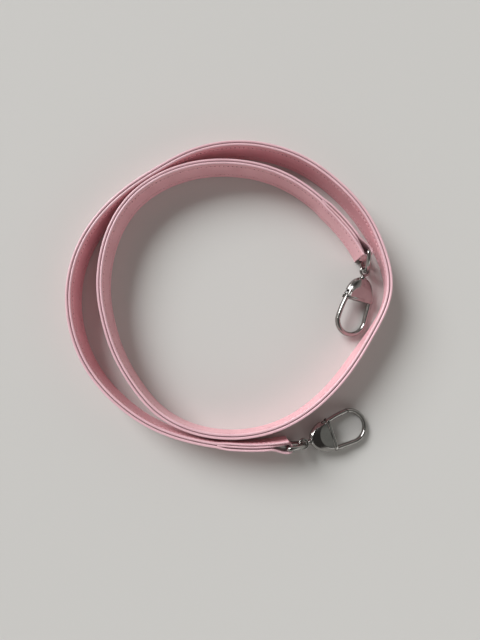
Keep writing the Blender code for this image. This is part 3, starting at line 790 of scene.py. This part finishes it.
def core_board():
    """The reinforcement and the glue line, set back from both long edges; its dark colour is painted
    shade of the groove between the layers.
    """
    half_thickness = BODY_OFFSET - LAYER_THICKNESS / 2 - LAYER_SWELL - GLUE_GAP
    half = STRAP_WIDTH / 2 - CORE_SETBACK
    rings = []
    for d in stations(CORE_START, STRAP_LENGTH - CORE_START, CORE_STEP):
        point, along = on_route(d)
        ring = []
        for a, h in CORE_SECTION:
            x, z = leaned(a * half_thickness, STRAP_WIDTH / 2 + h * half, lean_at(d))
            ring.append(point + outward(along) * x + Vector((0, 0, z)))
        rings.append(ring)
    points, faces = loft(rings)
    return mesh_object("strap_core_board", points, faces, (GROOVE_SHADE,))


def thread_ring(distance, height, sink, size, side):
    """One ring of points round the thread, which lies in the sewn channel of a leather face."""
    point, along = on_route(distance)
    offset = outer_offset(distance) if side > 0 else layer_offset(distance)
    surface = offset + LAYER_THICKNESS / 2 - CHANNEL_DEPTH
    centre = surface + THREAD_RADIUS * (THREAD_RISE - THREAD_SINK * sink)
    ring = []
    for out, up in ellipse(THREAD_RADIUS * size, THREAD_RADIUS * size, THREAD_SIDES):
        x, z = leaned(side * (centre + out), STRAP_WIDTH / 2 + height + up, lean_at(distance))
        ring.append(point + outward(along) * x + Vector((0, 0, z)))
    return ring


def stitches(name, side):
    """Both rows of thread on one face. Side is +1 on the outer layer and -1 on the inner one."""
    points, faces = [], []
    total = int((STRAP_LENGTH - 2 * STITCH_START) / STITCH_PITCH)
    for row in (-1, 1):
        for i in range(total):
            start = STITCH_START + i * STITCH_PITCH
            rings = []
            for share, sink, size in STITCH_FORM:
                height = row * STITCH_HEIGHT + (share - 0.5) * STITCH_SLANT
                rings.append(thread_ring(start + share * STITCH_PITCH, height, sink, size, side))
            stitch_points, stitch_faces = loft(rings)
            faces += [tuple(len(points) + corner for corner in face) for face in stitch_faces]
            points += stitch_points
    return mesh_object(name, points, faces, (THREAD,))


# Hardware, in millimetres in the hook's frame: +X along the hook, +Y to the gate's side


def dome():
    sides = 72
    rings = []
    below = [(length, width, -height) for length, width, height in DOME_LEVELS[:0:-1]]
    for length, width, height in [*below, *DOME_LEVELS]:
        ring = []
        for i in range(sides + 1):
            a = math.pi * (i / sides - 0.5)
            x = FLANGE_X - length * DOME_LENGTH * math.cos(a)
            y = width * DOME_HALF_WIDTH * math.sin(a)
            crown = 1 - DOME_CROWN * height**3 * (y / DOME_HALF_WIDTH) ** 2
            ring.append((x, y, height * DOME_HALF_HEIGHT * crown))
        rings.append(ring)
    points, faces = loft(rings)
    return mesh_object("dome", points, faces, (METAL,), scale=MM)


def flange():
    sides = 96
    half_width = DOME_HALF_WIDTH + FLANGE_PROUD
    half_height = DOME_HALF_HEIGHT + FLANGE_PROUD
    edge = FLANGE_ROUND * FLANGE_THICKNESS
    levels = []
    for i in range(7):
        a = math.pi * i / 12
        levels.append((FLANGE_X - edge * math.cos(a), edge * (1 - math.sin(a))))
    levels += [(FLANGE_X - edge + THROAT_X - x, inset) for x, inset in levels[::-1]]
    rings = []
    for x, inset in levels:
        ring = []
        for c, s in ellipse(1, 1, sides):
            y = (half_width - inset) * math.copysign(abs(c) ** FLANGE_SQUARENESS, c)
            z = (half_height - inset) * math.copysign(abs(s) ** FLANGE_SQUARENESS, s)
            ring.append((x, y, z))
        rings.append(ring)
    points, faces = loft(rings)
    return mesh_object("flange", points, faces, (METAL,), scale=MM)


def on_loop(degrees):
    """A point of the fixed arm's round end, in the middle of its bar."""
    a = math.radians(degrees)
    x = LOOP_CENTRE_X + LOOP_ARC_RADIUS * math.cos(a)
    y = LOOP_CENTRE_Y + LOOP_ARC_RADIUS * math.sin(a)
    return Vector((x, y, 0))


def gate_line():
    """The closed gate's start at its pin, its direction and its length."""
    start, end = Vector((PIN_X, PIN_Y, 0)), on_loop(NOSE_ANGLE)
    return start, (end - start).normalized(), (end - start).length


def gate_place():
    start, along, _ = gate_line()
    return Matrix.Translation(start * MM) @ Matrix.Rotation(math.atan2(along.y, along.x), 4, "Z")


def cut_joint(item, low, high, place):
    """Cuts a bar off along the nose's slant, where the gate meets the fixed arm."""
    cutter = block("joint", (low, -2 * BAR_WIDTH, -BAR_HEIGHT), (high, 2 * BAR_WIDTH, BAR_HEIGHT))
    slant = Matrix.Rotation(math.radians(NOSE_SLANT), 4, "Z")
    cutter.data.transform(place @ Matrix.Translation((gate_line()[2] * MM, 0, 0)) @ slant)
    return cut(item, cutter)


def fixed_arm():
    straight = LOOP_CENTRE_X - FLANGE_X
    side = LOOP_CENTRE_Y - LOOP_ARC_RADIUS
    path = [(FLANGE_X + straight * i / 16, side, 0) for i in range(16)]
    sweep_degrees = 90 + NOSE_ANGLE + math.degrees(BAR_WIDTH / LOOP_ARC_RADIUS)
    steps = 80
    path += [on_loop(sweep_degrees * i / steps - 90) for i in range(steps + 1)]
    arm = bar("arm", path, ellipse(BAR_WIDTH / 2, BAR_HEIGHT / 2, 40), (METAL,), (0, 0, 1))
    return cut_joint(arm, -2 * BAR_WIDTH, JOINT_GAP / 2, gate_place())


def hook_skin():
    boss_radius = POST_RADIUS + FIT_GAP + CAVITY_WALL
    boss = rod("boss", (APEX_X, 0, 0), (APEX_X + DOME_LENGTH / 3, 0, 0), boss_radius, (METAL,))
    body = cast(joined("hook", [dome(), flange(), boss, fixed_arm()]), 0.11, 0)
    seat_x = APEX_X + POST_LENGTH - FIT_GAP
    cavity_radius = DOME_HALF_HEIGHT - CAVITY_WALL
    past_throat = THROAT_X + CUT_PAST
    bore = rod("bore", (APEX_X - CUT_PAST, 0, 0), (seat_x + 1, 0, 0), POST_RADIUS + FIT_GAP)
    cavity = rod("cavity", (seat_x, 0, 0), (past_throat, 0, 0), cavity_radius)
    slot = block(
        "slot", (PIN_X - KNUCKLE_RADIUS - FIT_GAP, cavity_radius + SLOT_WALL, -SLOT_HALF_HEIGHT),
        (past_throat, DOME_HALF_WIDTH + CUT_PAST, SLOT_HALF_HEIGHT),
    )
    for tool in (bore, cavity, slot):
        cut(body, tool)
    return cast(body, 0.09, 6)


def gate_skin():
    length = gate_line()[2]
    reach = length + BAR_WIDTH
    path = []
    for i in range(41):
        share = i / 40 * reach / length
        path.append((share * length, 4 * GATE_BULGE * share * (1 - share), 0))
    made = bar("gate", path, ellipse(GATE_WIDTH / 2, GATE_HEIGHT / 2, 40), (METAL,), (0, 0, 1))
    cut_joint(made, -JOINT_GAP / 2, 2 * BAR_WIDTH, Matrix.Identity(4))
    high = KNUCKLE_HEIGHT / 2
    knuckle = rod("knuckle", (0, 0, -high), (0, 0, high), KNUCKLE_RADIUS, (METAL,))
    made = joined("gate", [made, knuckle])
    made = cast(made, 0.08, 0)
    ears = high - GATE_EAR
    cut(made, rod("room", (0, 0, -ears), (0, 0, ears), KNUCKLE_RADIUS + FIT_GAP))
    cut(made, rod("bore", (0, 0, -2 * high), (0, 0, 2 * high), PIN_RADIUS + FIT_GAP / 2))
    return cast(made, 0.07, 5)


def eye_skin():
    count = 72
    wire = EYE_WIRE / 2
    path = [(EYE_RADIUS * c, EYE_RADIUS * s, 0) for c, s in ellipse(1, 1, count)]
    loop = bar("loop", path, ellipse(wire, wire, 28), (METAL,), (0, 0, 1), True)
    head_x = APEX_X + POST_LENGTH
    collar_end = APEX_X - FIT_GAP
    post = turned("post", (
        (EYE_RADIUS - wire / 2, POST_RADIUS / 2), (EYE_RADIUS, POST_RADIUS),
        (EYE_RADIUS + wire, COLLAR_RADIUS), (collar_end, COLLAR_RADIUS),
        (collar_end + 0.01, POST_RADIUS), (head_x, POST_RADIUS),
        (head_x + 0.01, POST_HEAD_RADIUS), (head_x + POST_HEAD_THICKNESS / 2, POST_HEAD_RADIUS),
        (head_x + POST_HEAD_THICKNESS, POST_HEAD_RADIUS / 2),
    ), (METAL,))
    return cast(joined("eye", [loop, post]), 0.07, 5)


def ring_shape(name):
    half = BOW_RADIUS / MM
    corner = RING_CORNER / MM
    path = [(0, 0, (half - corner) * (i / 10 - 1)) for i in range(21)]
    path += [
        (corner * (1 - math.cos(a)), 0, half - corner * (1 - math.sin(a)))
        for a in (math.radians(d) for d in range(12, 90, 12))
    ]
    path += [
        (corner + half * math.cos(a), 0, half * math.sin(a))
        for a in (math.pi * (0.5 - i / 72) for i in range(73))
    ]
    path += [
        (corner * (1 - math.cos(a)), 0, corner * (1 - math.sin(a)) - half)
        for a in (math.radians(d) for d in range(84, 6, -12))
    ]
    wire = RING_WIRE / MM / 2
    return bar(name, path, ellipse(wire, wire, 32), (METAL,), (0, 1, 0), True)


def pin_shape(name):
    y_share = PIN_Y / DOME_HALF_WIDTH
    reach = DOME_HALF_HEIGHT * (1 - DOME_CROWN * y_share**2)
    path = [(0, 0, -reach), (0, 0, -reach + 0.12), (0, 0, reach - 0.12), (0, 0, reach)]
    section = ellipse(PIN_RADIUS, PIN_RADIUS, 32)
    return bar(name, path, section, (STEEL,), (1, 0, 0), scales=(0.8, 1, 1, 0.8))


def spring_coil(steps):
    """Points along the spring's coil, from where its long leg leaves it."""
    radius = PIN_RADIUS + FIT_GAP + SPRING_WIRE / 2
    start_z = -SPRING_PITCH * SPRING_HALF_TURNS / 4
    path = []
    for i in range(steps + 1):
        turn = i * SPRING_STEP_DEGREES
        a = math.radians(turn - 90)
        z = start_z + SPRING_PITCH * turn / 360
        path.append((radius * math.cos(a), radius * math.sin(a), z))
    return path


def spring_shape(name):
    """The coil round the pin, with the short leg that bears on the dome."""
    wire = SPRING_WIRE / 2
    path = spring_coil(SPRING_HALF_TURNS * 180 // SPRING_STEP_DEGREES)
    path.append((-KNUCKLE_RADIUS, path[-1][1], path[-1][2]))
    return bar(name, path, ellipse(wire, wire, 14), (STEEL,))


def spring_leg_shape(name):
    """The long leg along the gate, which turns with it.

    It goes on a little way round inside the coil's wire, so the spring looks whole when the gate
    is open.
    """
    wire = SPRING_WIRE / 2
    coil = spring_coil(HIDDEN_LEG_STEPS)
    leg_y = -GATE_WIDTH / 2 - FIT_GAP - wire
    leg = [(SPRING_LEG, leg_y, coil[0][2]), (KNUCKLE_RADIUS, leg_y, coil[0][2])]
    scales = [1] * len(leg) + [HIDDEN_LEG_SCALE] * len(coil)
    return bar(name, leg + coil, ellipse(wire, wire, 14), (STEEL,), scales=scales)


def copied(name, item):
    made = bpy.data.objects.new(name, item.data.copy())
    bpy.context.scene.collection.objects.link(made)
    return made


def joint(name):
    return next(j for j in frame["joints"] if j["name"] == name)


def axes(origin, x, z):
    """A frame from an origin, its X axis and its Z axis."""
    x, z = Vector(x).normalized(), Vector(z).normalized()
    return Matrix.Translation(origin) @ Matrix((x, z.cross(x), z)).transposed().to_4x4()


def build_strap():
    put(outer_leather(), Matrix.Identity(4), "strap", "leather", "strap_outer_layer")
    put(inner_leather(), Matrix.Identity(4), "strap", "leather", "strap_inner_layer")
    put(core_board(), Matrix.Identity(4), "strap", "core", "strap_core")
    put(stitches("stitches_outer", 1), Matrix.Identity(4), "strap", "leather")
    put(stitches("stitches_inner", -1), Matrix.Identity(4), "strap", "leather")


def build_hardware():
    hook, gate, eye = hook_skin(), gate_skin(), eye_skin()
    for end in "ab":
        ring_joint, bow_joint = joint(f"ring_{end}_turn"), joint(f"eye_{end}_slide_round_bow")
        post_joint, gate_joint = joint(f"hook_{end}_swivel"), joint(f"gate_{end}_open")
        up = Vector((0, 0, 1))
        ring_place = axes(ring_joint["pos_m"], Vector(bow_joint["axis"]).cross(up), up)
        hook_place = axes(post_joint["pos_m"], post_joint["axis"], gate_joint["axis"])
        gate_at = hook_place @ gate_place()
        put(ring_shape(f"ring_{end}"), ring_place, f"ring_{end}", "gunmetal", f"d_ring_{end}")
        put(copied(f"eye_{end}", eye), hook_place, f"eye_{end}", "gunmetal", f"swivel_eye_{end}")
        put(copied(f"hook_{end}", hook), hook_place, f"hook_{end}", "gunmetal", f"hook_body_{end}")
        put(copied(f"gate_{end}", gate), gate_at, f"gate_{end}", "gunmetal", f"hook_gate_{end}")
        put(pin_shape(f"pin_{end}"), gate_at, f"hook_{end}", "steel", f"gate_pin_{end}")
        put(spring_shape(f"spring_{end}"), gate_at, f"hook_{end}", "steel", f"gate_spring_{end}")
        put(spring_leg_shape(f"spring_leg_{end}"), gate_at, f"gate_{end}", "steel")
    for item in (hook, gate, eye):
        bpy.data.objects.remove(item, do_unlink=True)


# Surroundings


def build_floor():
    half = 3.0
    points = [(-half, -half, 0), (half, -half, 0), (half, half, 0), (-half, half, 0)]
    made, tree, shader = new_material("pale_floor", (0.58, 0.57, 0.545), 0.85)
    cloth, = textures(tree, ("ShaderNodeTexNoise", {"Scale": 900.0, "Detail": 3.0}))
    bumped(tree, shader, cloth.outputs["Fac"], 0.12, 0.0002)
    floor = mesh_object("floor", points, [(0, 1, 2, 3)], (made,))


# The room that the metal mirrors
PALE_CEILING = Vector((0.46, -0.05, 0.88)).normalized()
DIM_COLOUR = (0.060, 0.056, 0.054)
GREY_COLOUR = (0.30, 0.305, 0.292)
LOW_COLOUR = (0.62, 0.605, 0.585)


def build_world():
    """A soft room: a dim ceiling with one grey part, and pale light low all round."""
    world = bpy.data.worlds.new("room")
    bpy.context.scene.world = world
    world.use_nodes = True
    tree = world.node_tree
    tree.nodes.clear()
    place = node(tree, "ShaderNodeTexCoord").outputs["Generated"]
    split = node(tree, "ShaderNodeSeparateXYZ")
    tree.links.new(place, split.inputs[0])
    towards = node(tree, "ShaderNodeVectorMath", operation="DOT_PRODUCT")
    tree.links.new(place, towards.inputs[0])
    towards.inputs[1].default_value = PALE_CEILING
    patch = remapped(tree, towards.outputs["Value"], 0.90, 0.965, 0, 1)
    upper = mixed(tree, patch, DIM_COLOUR, GREY_COLOUR)
    whole = mixed(tree, remapped(tree, split.outputs[2], 0.52, 0.74, 0, 1), LOW_COLOUR, upper)
    background = node(tree, "ShaderNodeBackground", Strength=1.0)
    tree.links.new(whole, background.inputs[0])
    output = node(tree, "ShaderNodeOutputWorld")
    tree.links.new(background.outputs[0], output.inputs[0])


def add_light(data, place):
    """Sets a lamp in place, facing the middle of the part."""
    made = bpy.data.objects.new(data.name, data)
    made.location = place
    made.rotation_euler = (-Vector(place)).to_track_quat("-Z", "Y").to_euler()
    bpy.context.scene.collection.objects.link(made)


def build_lights():
    window = bpy.data.lights.new("window", "SUN")
    window.angle = math.radians(34)
    window.energy = 3.6
    window.color = (0.97, 0.98, 1.0)
    add_light(window, (-0.85, 0.75, 0.80))
    fill = bpy.data.lights.new("fill", "AREA")
    fill.shape = "RECTANGLE"
    fill.size, fill.size_y = 0.9, 0.6
    fill.energy = 1.6
    add_light(fill, (0.9, -0.9, 0.7))


def build_camera():
    data = bpy.data.cameras.new("camera")
    data.lens = 27
    data.sensor_width = 36
    data.clip_start = 0.01
    made = bpy.data.objects.new("camera", data)
    made.location = (COIL_CENTRE_X + 0.00649, COIL_CENTRE_Y - 0.04147, 0.286)
    made.rotation_euler = (math.radians(5.36), 0, 0)
    bpy.context.scene.collection.objects.link(made)
    bpy.context.scene.camera = made


bpy.context.scene.view_settings.view_transform = "Standard"
build_camera()
build_strap()
build_hardware()
build_floor()
build_world()
build_lights()
bpy.context.view_layer.update()
